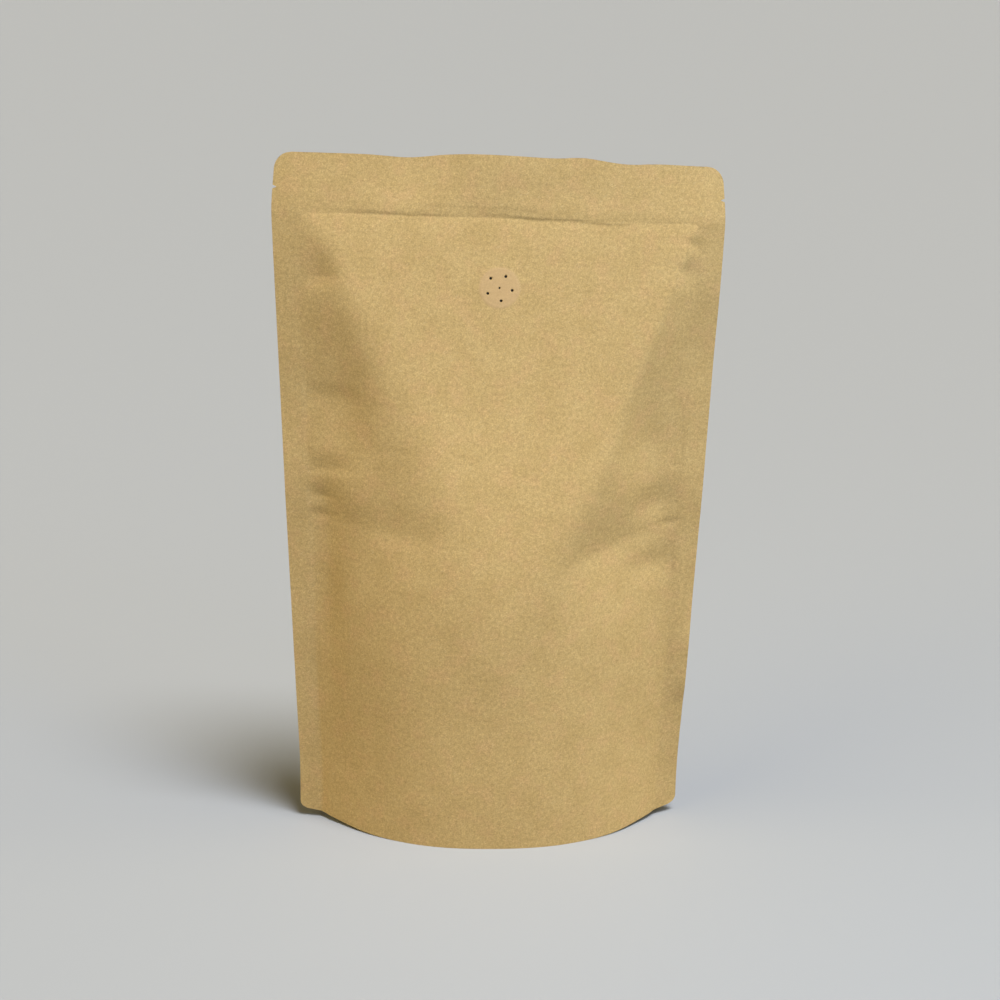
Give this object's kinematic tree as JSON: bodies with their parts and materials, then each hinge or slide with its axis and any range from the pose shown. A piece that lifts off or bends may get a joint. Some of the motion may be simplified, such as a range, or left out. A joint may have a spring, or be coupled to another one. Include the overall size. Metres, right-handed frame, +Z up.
{
  "type": "kraft stand-up pouch with valve",
  "caption": "Filled kraft-paper stand-up pouch, pressed shut, with side seals, a press-to-close zip line, tear notches, a bottom gusset and a round degassing valve.",
  "frame": {"origin": "on the ground at the middle of the pouch's base, between the front and back panels", "axes": "+Z up, +X along the pouch's width to the right as seen from the front, -Y out of the front panel, which has the valve"},
  "size_m": [0.2, 0.0762, 0.3123],
  "materials": {
    "kraft_paper": "matte",
    "valve_face": "matte"
  },
  "bodies": {
    "root": {"pouch_body": "kraft_paper", "valve": "valve_face"}
  },
  "joints": []
}
